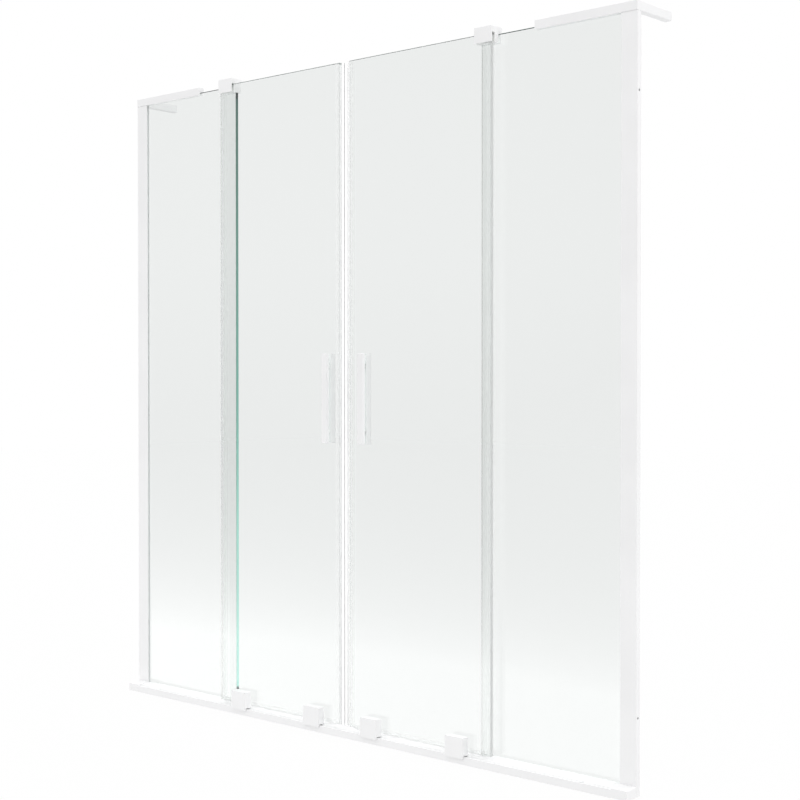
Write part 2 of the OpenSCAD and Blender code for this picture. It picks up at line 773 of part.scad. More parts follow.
door_bolts(1);  // right_door_bolts
carriage(1, outer_x);  // right_outer_carriage
carriage(1, inner_x);  // right_inner_carriage
clamp_discs(1);  // right_clamp_discs
axles(1);  // right_axles
roller(-1, outer_x);  // left_outer_roller
roller(-1, inner_x);  // left_inner_roller
roller(1, outer_x);  // right_outer_roller
roller(1, inner_x);  // right_inner_roller
bearing(-1, outer_x);  // left_outer_bearing
bearing(-1, inner_x);  // left_inner_bearing
bearing(1, outer_x);  // right_outer_bearing
bearing(1, inner_x);  // right_inner_bearing
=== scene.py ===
"""Looks of a sliding bath screen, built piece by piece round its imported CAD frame."""
import json
import math

import bmesh
import bpy
import numpy as np
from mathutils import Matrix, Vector


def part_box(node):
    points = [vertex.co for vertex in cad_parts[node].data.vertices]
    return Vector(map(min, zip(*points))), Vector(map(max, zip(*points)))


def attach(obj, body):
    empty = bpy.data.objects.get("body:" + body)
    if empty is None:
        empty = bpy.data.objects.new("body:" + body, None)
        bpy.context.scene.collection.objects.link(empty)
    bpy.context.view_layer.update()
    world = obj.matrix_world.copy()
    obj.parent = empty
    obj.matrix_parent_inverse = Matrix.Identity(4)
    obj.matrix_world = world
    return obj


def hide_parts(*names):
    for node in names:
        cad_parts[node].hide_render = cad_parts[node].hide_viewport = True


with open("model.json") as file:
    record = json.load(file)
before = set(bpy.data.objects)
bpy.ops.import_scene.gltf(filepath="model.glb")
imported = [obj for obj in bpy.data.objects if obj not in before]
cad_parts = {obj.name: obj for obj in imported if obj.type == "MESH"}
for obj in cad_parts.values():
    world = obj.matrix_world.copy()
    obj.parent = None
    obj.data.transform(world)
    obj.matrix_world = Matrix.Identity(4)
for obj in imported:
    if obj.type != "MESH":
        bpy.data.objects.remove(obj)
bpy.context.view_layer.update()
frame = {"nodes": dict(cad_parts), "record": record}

# Bottom rail
# An aluminium extrusion, 16.5 mm high in front, powder coated white and laid on the bath rim in silicone.
# Its top is flat in front, with a shallow track for the rollers, and rises behind so that water runs out.
MM = 0.001
body_of = {node: body for body, nodes in frame["record"]["behaviour"]["bodies"].items() for node in nodes}
noise_low, noise_high = 0.3, 0.7


def new_finish(name):
    """An empty finish: its material, shader, links and nodes, and the place on the piece in metres."""
    finish = bpy.data.materials.new(name)
    finish.use_nodes = True
    tree = finish.node_tree
    place = tree.nodes.new("ShaderNodeTexCoord").outputs["Object"]
    return finish, tree.nodes["Principled BSDF"], tree.links, tree.nodes, place


def grain(nodes, links, place, scale, detail=3.0, stretch=(1, 1, 1)):
    """Noise from 0 to 1, about scale lumps per metre, drawn out along an axis where stretch is small."""
    shift = nodes.new("ShaderNodeMapping")
    shift.inputs["Scale"].default_value = stretch
    links.new(place, shift.inputs["Vector"])
    noise = nodes.new("ShaderNodeTexNoise")
    noise.inputs["Scale"].default_value = scale
    noise.inputs["Detail"].default_value = detail
    links.new(shift.outputs["Vector"], noise.inputs["Vector"])
    return noise.outputs["Fac"]


def spread(nodes, links, value, low, high, start=noise_low, end=noise_high):
    """The value carried from start..end to low..high, and held at both ends."""
    span = nodes.new("ShaderNodeMapRange")
    for name, number in (("From Min", start), ("From Max", end), ("To Min", low), ("To Max", high)):
        span.inputs[name].default_value = number
    links.new(value, span.inputs["Value"])
    return span.outputs["Result"]


def shades(nodes, links, value, *stops):
    """A colour for each value from a row of (place, colour) stops."""
    ramp = nodes.new("ShaderNodeValToRGB")
    while len(ramp.color_ramp.elements) < len(stops):
        ramp.color_ramp.elements.new(0.5)
    for element, (at, colour) in zip(ramp.color_ramp.elements, stops):
        element.position = at
        element.color = (*colour, 1)
    links.new(value, ramp.inputs["Fac"])
    return ramp.outputs["Color"]


def vary(nodes, links, shader, noise, first, second, smoothest, roughest):
    """The noise takes the shader's colour from the first to the second, and its roughness with it."""
    tone = shades(nodes, links, noise, (noise_low, first), (noise_high, second))
    links.new(tone, shader.inputs["Base Color"])
    links.new(spread(nodes, links, noise, smoothest, roughest), shader.inputs["Roughness"])


def roughen(nodes, links, shader, height, depth, strength):
    """Bumps on the surface, depth metres high where the height goes from 0 to 1."""
    bump = nodes.new("ShaderNodeBump")
    bump.inputs["Distance"].default_value = depth
    bump.inputs["Strength"].default_value = strength
    links.new(height, bump.inputs["Height"])
    links.new(bump.outputs["Normal"], shader.inputs["Normal"])


def powder_coat():
    """White powder coat: fine orange peel, and a broad noise that moves white and gloss a little."""
    finish, shader, links, nodes, place = new_finish("powder_coat")
    cloud = grain(nodes, links, place, scale=9)
    vary(nodes, links, shader, cloud, (0.845, 0.845, 0.85), (0.875, 0.875, 0.88),
         smoothest=0.3, roughest=0.38)
    peel = grain(nodes, links, place, scale=900, detail=2)
    roughen(nodes, links, shader, peel, depth=0.02 * MM, strength=0.25)
    return finish


def stand_in(node, mesh, finishes, edge, steps, corner):
    """The mesh as the piece that takes the place of a CAD node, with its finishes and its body.
    Edges over corner degrees are rounded by edge metres. Smooth shading keeps the flats flat."""
    piece = bpy.data.objects.new(node + "_made", mesh)
    bpy.context.scene.collection.objects.link(piece)
    if edge:
        arris = piece.modifiers.new("arris", "BEVEL")
        arris.width = edge
        arris.segments = steps
        arris.limit_method = "ANGLE"
        arris.angle_limit = math.radians(corner)
        arris.use_clamp_overlap = True
    sharp = math.radians(30)
    mesh.shade_smooth()
    mesh.set_sharp_from_angle(angle=sharp)
    flats = piece.modifiers.new("flats", "WEIGHTED_NORMAL")
    flats.keep_sharp = True
    mesh.materials.clear()
    for finish in finishes:
        mesh.materials.append(finish)
    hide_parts(node)
    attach(piece, body_of[node])
    return piece


def machined(node, finish, edge, steps=3, extra=()):
    """A copy of a CAD node, its triangles merged to flats, with every edge over 40 degrees rounded by edge
    metres.
    """
    weld, flat = 0.001 * MM, math.radians(0.5)
    mesh = frame["nodes"][node].data.copy()
    form = bmesh.new()
    form.from_mesh(mesh)
    bmesh.ops.remove_doubles(form, verts=form.verts, dist=weld)
    bmesh.ops.dissolve_limit(form, angle_limit=flat, verts=form.verts, edges=form.edges)
    form.to_mesh(mesh)
    form.free()
    return stand_in(node, mesh, (finish, *extra), edge, steps, corner=40)


white_coat = powder_coat()
machined("bottom_rail", white_coat, edge=0.25 * MM)

# Infill strip and end caps
# The strip is snapped into the rail's groove between the two fixed panes and closes it against water.
# The caps are moulded, coated like the rail, and plug into its chamber; they stand a little proud of it.
machined("rail_infill", white_coat, edge=0.4 * MM)
for side in ("left", "right"):
    machined(side + "_rail_end_cap", white_coat, edge=0.7 * MM, steps=4)


# Buffers
# Low soft blocks of milky polyurethane, pressed into the roller track, one near each end.
# They stop the outer rollers when the doors are fully open, and are low enough for the carriages to pass.
def milky_plastic(name, colour, glow=0.0):
    """Milky soft plastic: pale, a little cloudy in colour and gloss, with a fine moulded skin.
    The glow is painted light: an emission that lifts the plastic where it lies in shade in a narrow gap."""
    finish, shader, links, nodes, place = new_finish(name)
    cloud = grain(nodes, links, place, scale=60)
    paler = tuple(c * 1.04 for c in colour)
    vary(nodes, links, shader, cloud, colour, paler, smoothest=0.35, roughest=0.5)
    # Painted light: an even glow, though the plastic is no lamp.
    shader.inputs["Emission Color"].default_value = (*colour, 1)
    shader.inputs["Emission Strength"].default_value = glow
    skin = grain(nodes, links, place, scale=700, detail=2)
    roughen(nodes, links, shader, skin, depth=0.02 * MM, strength=0.2)
    return finish


milky = milky_plastic("milky_plastic", (0.84, 0.86, 0.86))
machined("rail_buffers", milky, edge=0.3 * MM)

# Wall channels and wall profiles
# The channel is screwed to the wall. The visible profile slides over it and takes up a wall out of true.
# Both are aluminium extrusions, powder coated white like the rail.
for side in ("left", "right"):
    machined(side + "_wall_channel", white_coat, edge=0.2 * MM, steps=2)
    machined(side + "_wall_profile", white_coat, edge=0.35 * MM)


# Glazing gaskets
# Pale rubber strips on both sides of the glass, pushed into the profile's pocket once the pane is in.
# Each has a flat back and a rounded nose that shows as a thin line beside the glass.
def rubber(name, colour, glow=0.0):
    """Matt rubber: a fine grain that moves colour, roughness and bump together.
    The glow is painted light: an emission that lifts a pale rubber where it lies in shade between glass
    and metal."""
    finish, shader, links, nodes, place = new_finish(name)
    dust = grain(nodes, links, place, scale=400)
    dusty = tuple(min(1, c * 1.25) for c in colour)
    vary(nodes, links, shader, dust, colour, dusty, smoothest=0.55, roughest=0.75)
    # Painted light: an even glow, though the rubber is no lamp.
    shader.inputs["Emission Color"].default_value = (*colour, 1)
    shader.inputs["Emission Strength"].default_value = glow
    roughen(nodes, links, shader, dust, depth=0.05 * MM, strength=0.3)
    return finish


def arc(centre, radius, start, end, steps=6):
    """Points on a circle from one angle to another, in degrees, as an array of pairs."""
    turn = np.radians(np.linspace(start, end, steps + 1))
    return np.stack([centre[0] + radius * np.cos(turn), centre[1] + radius * np.sin(turn)], axis=1)


def carried(outline, along, stations):
    """The closed outline at each station along an axis: point j of row i is outline point j at station i.
    The outline's pairs are the two other axes in X, Y, Z order."""
    across = [axis for axis in range(3) if axis != along]
    grid = np.zeros((len(stations), len(outline), 3))
    grid[:, :, across] = np.asarray(outline)[None, :, :]
    grid[:, :, along] = np.asarray(stations)[:, None]
    return grid


def skins(grids):
    """Points and faces of closed skins: quads join each grid's rows, and both end rows are capped."""
    points, faces, first = [], [], 0
    for grid in grids:
        rows, columns = grid.shape[:2]
        i, j = np.meshgrid(np.arange(rows - 1), np.arange(columns), indexing="ij")
        near, far = i * columns, (i + 1) * columns
        step = (j + 1) % columns
        quads = np.stack([near + j, near + step, far + step, far + j], axis=-1).reshape(-1, 4) + first
        rim = first + np.arange(columns)
        faces += quads.tolist()
        faces += [rim[::-1].tolist(), (rim + (rows - 1) * columns).tolist()]
        points.append(grid.reshape(-1, 3))
        first += rows * columns
    return np.concatenate(points), faces


def moulded(node, finish, grids, sign=1, edge=0.0):
    """One piece from closed skins, mirrored in X where sign is -1, with its faces turned outward.
    Where an edge is given, corners over 50 degrees are rounded by it."""
    points, faces = skins(grids)
    mesh = bpy.data.meshes.new(node + "_made")
    mesh.from_pydata(points * (sign, 1, 1), [], faces)
    form = bmesh.new()
    form.from_mesh(mesh)
    bmesh.ops.recalc_face_normals(form, faces=form.faces)
    form.to_mesh(mesh)
    form.free()
    return stand_in(node, mesh, (finish,), edge, steps=2, corner=50)


def right_box(node):
    """Lowest and highest corner of a CAD node, turned to the right half where the node is on the left."""
    low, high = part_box(node)
    if node.startswith("left"):
        low.x, high.x = -high.x, -low.x
    return low, high


def gasket_strip(x0, x1, y0, y1, z0, z1):
    """A flat strip whose nose at x0 is half round: the outline is carried up along Z."""
    radius, middle = (y1 - y0) / 2, (y0 + y1) / 2
    nose = arc((x0 + radius, middle), radius, 90, 270)
    tail = [(x1, middle - radius), (x1, middle + radius)]
    return carried(np.concatenate([nose, tail]), 2, (z0, z1))


pale_rubber = rubber("pale_rubber", (0.79, 0.8, 0.8))
contact_air = 0.03 * MM
halves = (("left", -1), ("right", 1))
for side, sign in halves:
    low, high = right_box(side + "_glazing_gasket")
    pane = right_box(side + "_fixed_glass")
    front = gasket_strip(low.x, high.x, low.y, pane[0].y - contact_air, low.z, high.z)
    back = gasket_strip(low.x, high.x, pane[1].y + contact_air, high.y, low.z, high.z)
    moulded(side + "_glazing_gasket", pale_rubber, [front, back], sign)


# Profile screws
# Short stainless pan head screws with a hexagon socket, three in the back of each wall profile.
# They lock the profile to the channel once the screen stands plumb.
def bare_metal(name, colour, rough):
    """Bare metal: a fine grain moves its colour, its roughness and its bumps together."""
    finish, shader, links, nodes, place = new_finish(name)
    grit = grain(nodes, links, place, scale=1500, detail=2)
    darker = tuple(c * 0.93 for c in colour)
    vary(nodes, links, shader, grit, darker, colour, smoothest=rough, roughest=rough + 0.12)
    shader.inputs["Metallic"].default_value = 1
    roughen(nodes, links, shader, grit, depth=0.01 * MM, strength=0.3)
    return finish


def turned(outline, centre, steps=48, socket=0):
    """A turned part: each (radius, y) pair of the outline is carried round an axis along Y.
    The last socket pairs are hexagons, whose radius is the flat's distance over the angle's cosine."""
    outline = np.asarray(outline, float)
    turn = np.linspace(0, 2 * np.pi, steps, endpoint=False)
    to_flat = (turn + np.pi / 6) % (np.pi / 3) - np.pi / 6
    radius = np.repeat(outline[:, :1], steps, axis=1)
    hexagon = np.arange(len(outline))[:, None] >= len(outline) - socket
    radius = np.where(hexagon, radius / np.cos(to_flat), radius)
    x, y, z = centre
    return np.stack([x + radius * np.cos(turn), y + np.repeat(outline[:, 1:], steps, axis=1),
                     z + radius * np.sin(turn)], axis=-1)


def cap_screw(centre, shank, length, head, height, dome=0.0):
    """A socket screw along Y: shank, rounded head and hexagon socket. Shank and head are their diameters.
    The centre is under the head, the shank goes toward -Y, and the head's rim is drawn in by dome."""
    shank_r, head_r = shank / 2, head / 2
    key = shank * 0.42
    rim = max(dome, 0.12 * height)
    chamfer, lead_in = 0.1 * MM, 0.15 * MM
    outline = [(shank_r - chamfer, -length), (shank_r, -length + 2 * chamfer), (shank_r, 0),
               (head_r - chamfer, 0), (head_r, chamfer), (head_r, height - rim),
               (head_r - 0.3 * rim, height - 0.3 * rim), (head_r - rim, height), (key * 1.12, height),
               (key, height - lead_in), (key, height * 0.45), (key * 0.3, height * 0.35)]
    return turned(outline, centre, socket=3)


bright_steel = bare_metal("bright_steel", (0.78, 0.79, 0.8), 0.2)
low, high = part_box("profile_screws")
profile = right_box("right_wall_profile")
channel = right_box("right_wall_channel")
shank, head, dome = 3.5 * MM, 7 * MM, 0.5 * MM
screw_x = (channel[0].x + channel[1].x) / 2
screw_rows = (low.z + head / 2, (low.z + high.z) / 2, high.z - head / 2)
length, height = profile[1].y - low.y, high.y - profile[1].y
moulded("profile_screws", bright_steel, [
    cap_screw((sign * screw_x, profile[1].y, z), shank, length, head, height, dome)
    for sign in (-1, 1) for z in screw_rows])


# Fixed panes
# Toughened clear float glass, 8 mm, with ground and polished edges whose corners have a small arris.
# Each edge's colour is painted light: green where light would run through the whole pane, pale where it
# would get in beside it.
def either(nodes, links, share, first, second):
    """The first shader where the share is 0, and the second where it is 1."""
    choice = nodes.new("ShaderNodeMixShader")
    links.new(share, choice.inputs["Fac"])
    links.new(first.outputs[0], choice.inputs[1])
    links.new(second.outputs[0], choice.inputs[2])
    return choice


def float_glass():
    """Clear glass: real refraction, a slight green grey in what comes through, and a touch of haze.
    Light from the room goes straight through it to what stands behind."""
    finish, shader, links, nodes, place = new_finish("float_glass")
    shader.inputs["Base Color"].default_value = (0.891, 0.908, 0.9, 1)
    shader.inputs["Transmission Weight"].default_value = 1
    shader.inputs["IOR"].default_value = 1.5
    haze = grain(nodes, links, place, scale=25)
    links.new(spread(nodes, links, haze, low=0, high=0.02), shader.inputs["Roughness"])
    straight = nodes.new("ShaderNodeBsdfTransparent")
    straight.inputs["Color"].default_value = (0.98, 0.985, 0.983, 1)
    light_path = nodes.new("ShaderNodeLightPath")
    pane = either(nodes, links, light_path.outputs["Is Shadow Ray"], shader, straight)
    pane = either(nodes, links, light_path.outputs["Is Diffuse Ray"], pane, straight)
    links.new(pane.outputs["Shader"], nodes["Material Output"].inputs["Surface"])
    return finish


def painted_edge_light(name, stops, darken=1.0):
    """The polished edge of a pane, with fine grinding lines along it. Its colour is painted light and
    shade.
    The stops give that painted colour by the height in metres above the bath; darken makes a shaded copy."""
    finish, shader, links, nodes, place = new_finish(name)
    height = nodes.new("ShaderNodeSeparateXYZ")
    links.new(place, height.inputs["Vector"])
    top = 1.5
    share = spread(nodes, links, height.outputs["Z"], low=0, high=1, start=0, end=top)
    tones = ((at / top, tuple(darken * c for c in colour)) for at, colour in stops)
    links.new(shades(nodes, links, share, *tones), shader.inputs["Base Color"])
    lines = grain(nodes, links, place, scale=1200, detail=2, stretch=(1, 1, 0.002))
    links.new(spread(nodes, links, lines, low=0.08, high=0.2), shader.inputs["Roughness"])
    roughen(nodes, links, shader, lines, depth=0.01 * MM, strength=0.2)
    return finish


def glazed(node, edge, arris):
    """A pane: its faces clear, its edges and holes in the edge finish of painted light, and their arris in
    a darker one of painted shade.
    The edge at its lowest X and the lower edge stay clear: from inside they mirror the light behind.
    The lower edge has no arris."""
    face_slot, edge_slot, arris_slot = range(3)
    ground, corner = 0.7 * MM, math.radians(40)
    piece = machined(node, clear_glass, 0, extra=(edge, arris))
    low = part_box(node)[0]
    form = bmesh.new()
    form.from_mesh(piece.data)
    corners = [line for line in form.edges if line.calc_face_angle(0) > corner
               and max(end.co.z for end in line.verts) > low.z + ground]
    bmesh.ops.bevel(form, geom=corners, offset=ground, segments=1, affect="EDGES", clamp_overlap=True)
    form.to_mesh(piece.data)
    form.free()
    normals, centres = (np.zeros(len(piece.data.polygons) * 3) for _ in range(2))
    piece.data.polygons.foreach_get("normal", normals)
    piece.data.polygons.foreach_get("center", centres)
    facing = np.abs(normals.reshape(-1, 3)[:, 1])
    slots = np.where(facing > 0.9, face_slot, np.where(facing < 0.1, edge_slot, arris_slot))
    x, _, z = centres.reshape(-1, 3).T
    slots[(x < low.x + ground) | (z < low.z + ground)] = face_slot
    piece.data.polygons.foreach_set("material_index", slots.astype(np.int32))
    piece.data.shade_flat()


clear_glass = float_glass()
# Painted light on the left pane's edge: bright green low down, darker going up, and near black at both
# ends, painted shade where the rail and the guide hold the pane.
greens = ((0.0535, (0.02, 0.03, 0.03)), (0.058, (0.45, 0.84, 0.75)), (0.45, (0.38, 0.76, 0.65)),
          (0.75, (0.19, 0.47, 0.39)), (1.39, (0.065, 0.165, 0.13)), (1.463, (0.057, 0.14, 0.115)),
          (1.472, (0.01, 0.02, 0.02)))
green_edge = painted_edge_light("green_edge", greens)
# The arris is a darker copy of the edge: painted shade.
shaded_green_arris = painted_edge_light("shaded_green_arris", greens, darken=0.7)
glazed("left_fixed_glass", green_edge, shaded_green_arris)
# Near black at the very top: painted shade where the bar and guide cover the edge.
shaded_top = (1.4985, (0.012, 0.045, 0.037))
# The right pane's edge: pale green painted light up to that shaded top, with a slightly shaded copy on its
# arris.
lit = ((0.0, (0.8, 0.9, 0.87)), (1.497, (0.8, 0.9, 0.87)), shaded_top)
glazed("right_fixed_glass", painted_edge_light("lit_edge", lit), painted_edge_light("shaded_lit_arris", lit, darken=0.9))


# Foot rubbers and clamp rubbers
# Soft channels over the pane's edge wherever metal would touch it: in the rail, brace bars and guides.
# They are extruded pale rubber, cut to length and pushed on before the metal.
def rubber_channel(x0, x1, low, high, pane, web_below):
    """A U on a pane's edge: the outline runs round the outside and back round the glass, carried along X.
    The web lies at the lowest end where web_below is true, and otherwise at the highest."""
    front, back = pane[0].y - contact_air, pane[1].y + contact_air
    if web_below:
        web, inside, tips = low.z, pane[0].z - contact_air, high.z
    else:
        web, inside, tips = high.z, pane[1].z + contact_air, low.z
    outline = [(low.y, tips), (low.y, web), (high.y, web), (high.y, tips),
               (back, tips), (back, inside), (front, inside), (front, tips)]
    return carried(outline, 0, (x0, x1))


def both_sides(*grids):
    """Each skin, mirrored in X and as it is."""
    return [grid * (sign, 1, 1) for grid in grids for sign in (-1, 1)]


# This rubber's glow is painted light, lifting it where it lies in shade behind the glass.
white_rubber = rubber("white_rubber", (0.86, 0.87, 0.87), glow=0.2)
pane = right_box("right_fixed_glass")
bar = right_box("right_brace_bar")
guide = right_box("right_top_guide")
low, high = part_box("pane_foot_rubbers")
foot = rubber_channel(pane[0].x, high.x, low, high, pane, web_below=True)
moulded("pane_foot_rubbers", white_rubber, both_sides(foot))
low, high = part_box("glass_clamp_rubbers")
bar_low = Vector((bar[0].x, low.y, bar[0].z))
guide_low = Vector((pane[0].x, low.y, guide[0].z))
in_bar = rubber_channel(bar[0].x, high.x, bar_low, high, pane, web_below=False)
in_guide = rubber_channel(pane[0].x, guide[1].x, guide_low, high, pane, web_below=False)
moulded("glass_clamp_rubbers", white_rubber, both_sides(in_bar, in_guide))

# Brace bars and brace arms
# A bar grips the top edge of each fixed pane, and an arm glued along the wall holds the bar's outer end.
# Both are coated aluminium with rounded edges; a tongue joins them, and a small cap closes the arm.
for side in ("left", "right"):
    machined(side + "_brace_bar", white_coat, edge=0.5 * MM)
    machined(side + "_brace_arm", white_coat, edge=0.5 * MM)
machined("brace_end_caps", white_coat, edge=0.5 * MM)


# Grub screws
# Set screws with a hexagon socket and no head. Two press each bar on its pane, one locks its arm, and two
# more hold each top guide on the pane. All are turned below the metal's face.
def grub(centre, radius, length):
    """A set screw along Y from the centre: a cone point, a body, and a hexagon socket at the far end."""
    key = radius * 0.5
    chamfer, lead_in, flats_end, drill_end = 0.3 * MM, 0.2 * MM, 1.4 * MM, 1.8 * MM
    outline = [(radius * 0.4, 0), (radius, radius * 0.5), (radius, length - chamfer),
               (radius - chamfer, length), (key * 1.15, length), (key, length - lead_in),
               (key, length - flats_end), (key * 0.3, length - drill_end)]
    return turned(outline, centre, 36, socket=3)


low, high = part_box("brace_screws")
arm = right_box("right_brace_arm")
grub_r, sunk, off_glass = 2 * MM, 0.5 * MM, 1 * MM
above_edge, from_inner_end, from_outer_end, from_back = 3 * MM, 30 * MM, 96 * MM, 2.5 * MM
press_y, press_z = pane[1].y + off_glass, bar[0].z + above_edge
press_x = (bar[0].x + from_inner_end, bar[1].x - from_outer_end)
press_length = bar[1].y - sunk - press_y
press = [grub((sign * x, press_y, press_z), grub_r, press_length) for sign in (-1, 1) for x in press_x]
lock_length = high.z - (bar[0].z + bar[1].z) / 2
lock_place = ((arm[0].x + arm[1].x) / 2, bar[1].y - from_back, high.z - lock_length)
lock = grub((0, 0, 0), grub_r, lock_length)[:, :, [0, 2, 1]] + lock_place
moulded("brace_screws", bright_steel, [*press, *both_sides(lock)])


# Top guides
# A block of coated metal is clamped on the free top corner of each fixed pane. The door runs in its slot.
# The slot is lined with white nylon so that the glass slides without a mark.
def white_nylon():
    """Cast nylon: warm white, a little cloudy, with fine turning marks."""
    finish, shader, links, nodes, place = new_finish("white_nylon")
    cloud = grain(nodes, links, place, scale=200)
    vary(nodes, links, shader, cloud, (0.93, 0.93, 0.92), (0.96, 0.96, 0.95), smoothest=0.4, roughest=0.5)
    marks = grain(nodes, links, place, scale=1800, detail=2)
    roughen(nodes, links, shader, marks, depth=0.02 * MM, strength=0.3)
    return finish


for side in ("left", "right"):
    machined(side + "_top_guide", white_coat, edge=0.5 * MM)
low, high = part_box("guide_screws")
screw_z, screw_r, length = (low.z + high.z) / 2, 2.45 * MM, high.y - low.y
screw_columns = [guide[0].x + share * (guide[1].x - guide[0].x) for share in (0.3, 0.75)]
moulded("guide_screws", bright_steel, [
    grub((sign * x, low.y, screw_z), screw_r, length) for sign in (-1, 1) for x in screw_columns])
nylon = white_nylon()
machined("guide_slides", nylon, edge=0.15 * MM, steps=2)

# Door panes
# The same 8 mm glass as the fixed panes, drilled for the carriages' clamp screws and the handle bolts.
# The upright edges are painted pale, as light the seals send into them, with a darker arris on each side
# as painted shade.
# Painted light: the door edges pale all the way up, and near black at the very top as painted shade.
pales = ((0.0, (0.95, 0.97, 0.96)), (1.497, (0.95, 0.97, 0.96)), shaded_top)
# Painted shade: the arris goes from light grey low down to near black near the top.
greys = ((0.1, (0.82, 0.84, 0.84)), (0.5, (0.62, 0.65, 0.65)), (1.0, (0.45, 0.5, 0.49)),
         (1.45, (0.1, 0.12, 0.12)), shaded_top)
shaded_grey_arris = painted_edge_light("shaded_grey_arris", greys)
glazed("left_door_glass", painted_edge_light("pale_edge", pales), shaded_grey_arris)
# The right door's edge is a darker copy of the left's: painted shade.
glazed("right_door_glass", painted_edge_light("shaded_pale_edge", pales, darken=0.62), shaded_grey_arris)


# Meeting seals and magnet strips
# A clear PVC profile grips the inner edge of each door: two legs on the glass, a web, and a hollow nose.
# A white magnet strip lies in the nose, and the two strips pull the doors together.
def clear_vinyl():
    """Clear PVC: most light goes straight through, and a thin milky film with draw lines stays."""
    finish, shader, links, nodes, place = new_finish("clear_vinyl")
    lines = grain(nodes, links, place, scale=500, detail=2, stretch=(1, 1, 0.01))
    vary(nodes, links, shader, lines, (0.94, 0.96, 0.96), (0.98, 0.99, 0.99),
         smoothest=0.25, roughest=0.35)
    shader.inputs["Alpha"].default_value = 0.06
    return finish


def magnet_white():
    """White coated magnet strip: faint cross marks from winding, and a touch of glow, painted light that
    lifts it in the shade of the seal's nose.
    """
    finish, shader, links, nodes, place = new_finish("magnet_white")
    marks = grain(nodes, links, place, scale=60, detail=2, stretch=(1, 1, 3))
    vary(nodes, links, shader, marks, (0.96, 0.96, 0.96), (0.98, 0.98, 0.98),
         smoothest=0.45, roughest=0.6)
    # Painted light: the strip glows a little, though it is no lamp.
    shader.inputs["Emission Color"].default_value = (1, 1, 1, 1)
    shader.inputs["Emission Strength"].default_value = 0.12
    return finish


def soft_rect(low, high, radius):
    """A rectangle whose four corners are quarter circles, as a closed row of pairs."""
    steps = 5
    (x0, y0), (x1, y1) = low, high
    centres = ((x1 - radius, y1 - radius), (x0 + radius, y1 - radius),
               (x0 + radius, y0 + radius), (x1 - radius, y0 + radius))
    corners = [arc(centre, radius, 90 * k, 90 * (k + 1), steps) for k, centre in enumerate(centres)]
    return np.concatenate(corners)


def soft_strip(low, high, radius, along):
    """A strip between two corners: a soft rectangle carried along one axis from end to end."""
    across = [axis for axis in range(3) if axis != along]
    outline = soft_rect([low[axis] for axis in across], [high[axis] for axis in across], radius)
    return carried(outline, along, (low[along], high[along]))


vinyl = clear_vinyl()
magnet = magnet_white()
seal_air, seal_wall, magnet_play = 0.12 * MM, 1 * MM, 0.1 * MM
leg_round, wall_round, magnet_round = 0.25 * MM, 0.2 * MM, 0.4 * MM
for side, sign in halves:
    low, high = right_box(side + "_meeting_seal")
    door = right_box(side + "_door_glass")
    strip = right_box(side + "_magnet_strip")
    in_front, behind = (low.y, door[0].y - seal_air), (door[1].y + seal_air, high.y)
    legs = [soft_strip((door[0].x, y0, low.z), (high.x, y1, high.z), leg_round, 2)
            for y0, y1 in (in_front, behind)]
    edge_x = door[0].x - seal_air
    hollow = (strip[0].x - magnet_play, strip[1].x + magnet_play)
    walls = [soft_strip((x0, low.y, low.z), (x1, high.y, high.z), wall_round, 2) for x0, x1 in (
        (low.x, hollow[0]), (hollow[1], hollow[1] + seal_wall), (edge_x - seal_wall, edge_x))]
    moulded(side + "_meeting_seal", vinyl, [*legs, *walls], sign)
    moulded(side + "_magnet_strip", magnet, [soft_strip(*strip, magnet_round, 2)], sign)

# Wiper seals
# A clear profile on the outer edge of each door. Its lip sweeps along the fixed pane and keeps water in.
# Two legs grip the glass, a web covers its edge, and the lip leans back toward the pane.
lip_root, lip_heel, lip_reach, lip_tip = 3 * MM, 4 * MM, 8 * MM, (9.2 * MM, 0.5 * MM)
for side, sign in halves:
    low, high = right_box(side + "_wiper_seal")
    door = right_box(side + "_door_glass")
    edge_x = door[1].x + seal_air
    in_front, behind = (low.y, door[0].y - seal_air), (door[1].y + seal_air, door[1].y + seal_wall)
    legs = [soft_strip((low.x, y0, low.z), (high.x, y1, high.z), leg_round, 2)
            for y0, y1 in (in_front, behind)]
    outline = [(edge_x, door[0].y), (high.x, door[0].y), (high.x, door[1].y + lip_heel),
               (high.x - lip_reach, high.y), (high.x - lip_tip[0], high.y - lip_tip[1]),
               (edge_x, door[1].y + lip_root)]
    web_and_lip = carried(outline, 2, (low.z, high.z))
    moulded(side + "_wiper_seal", vinyl, [*legs, web_and_lip], sign, edge=0.2 * MM)

# Drip seals
# Clear strips under each door between the carriages, with a thin lip that hangs down over the rail's top.
# They are pushed on the glass from below.
lip_round, gap = 0.3 * MM, 1 * MM
for side, sign in halves:
    low, high = right_box(side + "_drip_seal")
    door = right_box(side + "_door_glass")
    outer_block = right_box(side + "_outer_carriage")
    inner_block = right_box(side + "_inner_carriage")
    runs = ((low.x, inner_block[0].x - gap), (inner_block[1].x + gap, outer_block[0].x - gap),
            (outer_block[1].x + gap, high.x))
    foot = door[0].z - seal_air
    web_low = foot - seal_wall
    bands = (((low.y, web_low), (door[0].y - seal_air, high.z), leg_round),
             ((door[1].y + seal_air, web_low), (high.y, high.z), leg_round),
             ((door[0].y, web_low), (door[1].y, foot), leg_round),
             ((door[0].y + seal_wall, low.z), (door[0].y + 2 * seal_wall, web_low), lip_round))
    moulded(side + "_drip_seal", vinyl, [
        soft_strip((x0, *band_low), (x1, *band_high), radius, 0)
        for x0, x1 in runs for band_low, band_high, radius in bands], sign)


